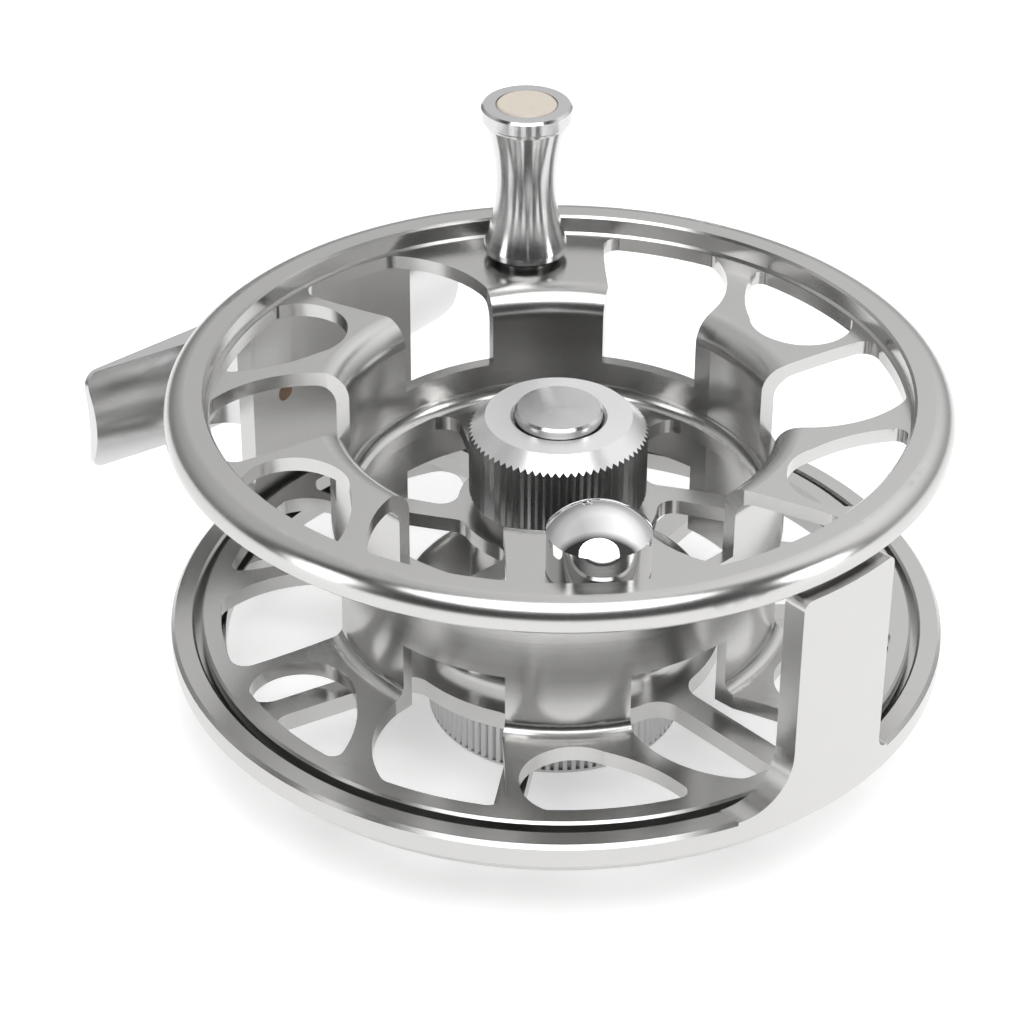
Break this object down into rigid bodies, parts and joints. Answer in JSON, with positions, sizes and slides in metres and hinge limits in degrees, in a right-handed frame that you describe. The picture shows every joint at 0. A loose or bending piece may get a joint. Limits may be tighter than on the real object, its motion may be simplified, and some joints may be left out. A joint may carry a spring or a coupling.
{
  "type": "fly reel",
  "caption": "Large-arbor fly reel: open skeleton frame with a reel foot, spoked spool on a spindle, turning handle, press-release cap and ribbed drag knob.",
  "frame": {"origin": "on the spool axis, at the resting face of the drag knob, which is the lowest point", "axes": "+Z along the spool axis, from the drag knob to the handle side; +Y from the axis to the reel foot; +X along the foot's length"},
  "size_m": [0.0964, 0.1042, 0.0664],
  "materials": {
    "frame_aluminium": "satin, fine turning lines",
    "spool_aluminium": "satin, fine turning lines",
    "foot_aluminium": "polished",
    "cover_aluminium": "satin",
    "hub_aluminium": "machined",
    "cap_aluminium": "brushed",
    "button_aluminium": "radially brushed",
    "knob_aluminium": "ribbed, satin",
    "handle_aluminium": "polished",
    "ivory_plastic": "smooth",
    "weight_chrome": "mirror",
    "copper_plate": "plated",
    "screw_steel": "plain",
    "spindle_steel": "ground",
    "bearing_steel": "ground",
    "spring_steel": "oiled",
    "carbon_washer": "woven",
    "bush_bronze": "sintered",
    "nut_brass": "turned"
  },
  "bodies": {
    "frame": {"frame": "frame_aluminium", "reel_foot": "foot_aluminium", "foot_screws": "copper_plate", "spindle": "spindle_steel", "hub_retaining_ring": "spring_steel", "drag_cover": "cover_aluminium", "drag_cover_screws": "screw_steel", "upper_drag_washer": "carbon_washer", "lower_drag_washer": "carbon_washer", "pressure_plate": "cover_aluminium", "push_pins": "spindle_steel", "thrust_ring": "spindle_steel", "drag_springs": "spring_steel", "knob_screw": "screw_steel"},
    "drag_rotor": {"drag_disc": "spindle_steel", "drag_sleeve": "spindle_steel"},
    "drive_hub": {"drive_hub": "hub_aluminium", "lower_bearing": "bearing_steel", "one_way_clutch": "bearing_steel", "upper_bearing": "bearing_steel"},
    "spool": {"spool_rim": "spool_aluminium", "spool_back": "spool_aluminium", "spool_web": "spool_aluminium", "release_cap": "cap_aluminium", "latch_cover": "cover_aluminium", "button_spring": "spring_steel", "handle_post": "spindle_steel", "handle_screw": "screw_steel", "counterweight": "weight_chrome", "flange_screws": "screw_steel"},
    "latch": {"spool_latch": "spindle_steel"},
    "button": {"push_button": "button_aluminium"},
    "handle": {"handle_knob": "handle_aluminium", "handle_bushes": "bush_bronze", "handle_end_cap": "ivory_plastic"},
    "drag_knob": {"drag_knob": "knob_aluminium"},
    "thrust_nut": {"thrust_nut": "nut_brass"}
  },
  "joints": [
    {"name": "spool_spin", "type": "hinge", "parent": "frame", "child": "drive_hub", "pos_m": [0, 0, 0.0254], "axis": [0, 0, 1], "continuous": true},
    {"name": "spool_lift", "type": "slide", "parent": "drive_hub", "child": "spool", "axis": [0, 0, 1], "range_m": [0, 0.04]},
    {"name": "handle_spin", "type": "hinge", "parent": "spool", "child": "handle", "pos_m": [0.02173, 0.0297, 0.055], "axis": [0, 0, 1], "continuous": true},
    {"name": "button_press", "type": "slide", "parent": "spool", "child": "button", "axis": [0, 0, -1], "range_m": [0, 0.0009], "stiffness_N_per_m": 400, "springref_m": -0.0025, "deforming": ["button_spring"]},
    {"name": "latch_slide", "type": "slide", "parent": "spool", "child": "latch", "axis": [1, 0, 0], "range_m": [0, 0.0009]},
    {"name": "drag_slip", "type": "hinge", "parent": "frame", "child": "drag_rotor", "pos_m": [0, 0, 0.0154], "axis": [0, 0, 1], "continuous": true},
    {"name": "knob_turn", "type": "hinge", "parent": "frame", "child": "drag_knob", "pos_m": [0, 0, 0.0021], "axis": [0, 0, 1], "range_deg": [0, 330]},
    {"name": "nut_travel", "type": "slide", "parent": "drag_knob", "child": "thrust_nut", "axis": [0, 0, 1], "range_m": [0, 0.00065], "deforming": ["drag_springs"]}
  ],
  "couplings": [
    {"joint": "latch_slide", "follows": "button_press", "ratio": 1},
    {"joint": "nut_travel", "follows": "knob_turn", "m_per_rad": 0.00011141}
  ]
}
